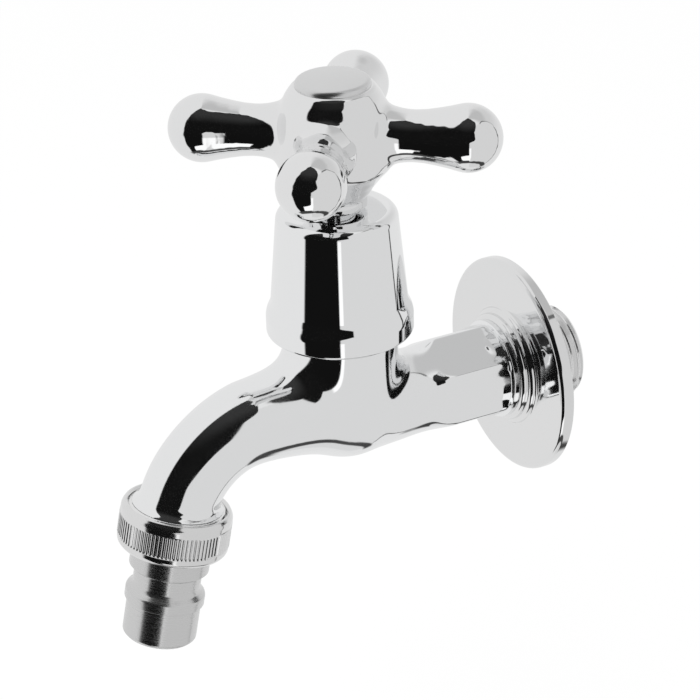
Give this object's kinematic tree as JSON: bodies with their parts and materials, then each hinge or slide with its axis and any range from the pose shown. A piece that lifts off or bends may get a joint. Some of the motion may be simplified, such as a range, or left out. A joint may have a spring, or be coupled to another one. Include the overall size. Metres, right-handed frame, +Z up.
{
  "type": "hose bib",
  "caption": "Wall-mounted chromed garden tap with a cross handle, bell-shaped bonnet cover, downturned spout and a knurled union nut holding a plain hose nozzle.",
  "frame": {"origin": "on the inlet axis at the wall plane, where the rosette's back rim meets the wall", "axes": "+Z up along the valve stem, +Y into the wall along the inlet thread, the spout points to -Y, +X completes the right-handed frame"},
  "size_m": [0.0584, 0.1092, 0.1204],
  "materials": {
    "chrome_cast": "polished chrome on cast brass",
    "chrome_sheet": "polished chrome on pressed brass",
    "chrome_turned": "satin chrome over turning marks",
    "brass": "machined brass",
    "steel": "zinc plated",
    "spring_steel": "plain stainless",
    "rubber": "matt black",
    "fibre": "red fibre",
    "ptfe": "matt white"
  },
  "bodies": {
    "tap_body": {"body": "chrome_cast", "valve_seat": "brass", "wall_flange": "chrome_sheet", "bonnet_gasket": "fibre", "bonnet": "brass", "gland_packing": "ptfe", "gland_follower": "brass", "gland_nut": "brass", "bonnet_shroud": "chrome_sheet"},
    "jumper_group": {"jumper": "brass", "valve_washer": "rubber", "washer_screw": "brass", "jumper_ring": "spring_steel"},
    "handle_group": {"spindle": "brass", "cross_handle": "chrome_cast", "handle_screw": "steel", "screw_washer": "spring_steel", "handle_cap": "chrome_sheet"},
    "nozzle_group": {"hose_nozzle": "chrome_turned", "nozzle_washer": "rubber"},
    "nut_group": {"union_nut": "chrome_turned"}
  },
  "joints": [
    {"name": "valve_lift", "type": "slide", "parent": "tap_body", "child": "jumper_group", "axis": [0, 0, 1], "range_m": [0, 0.0036]},
    {"name": "handle_turn", "type": "hinge", "parent": "jumper_group", "child": "handle_group", "pos_m": [0, -0.0437, 0], "axis": [0, 0, 1], "range_deg": [0, 720]},
    {"name": "nozzle_drop", "type": "slide", "parent": "tap_body", "child": "nozzle_group", "axis": [0, -0.2045, -0.9789], "range_m": [0, 0.00363]},
    {"name": "nut_turn", "type": "hinge", "parent": "nozzle_group", "child": "nut_group", "pos_m": [0, -0.0836, -0.0118], "axis": [0, -0.2045, -0.9789], "range_deg": [0, 720]}
  ],
  "couplings": [
    {"joint": "handle_turn", "follows": "valve_lift", "rad_per_m": 3490.7},
    {"joint": "nut_turn", "follows": "nozzle_drop", "rad_per_m": 3463.7}
  ]
}
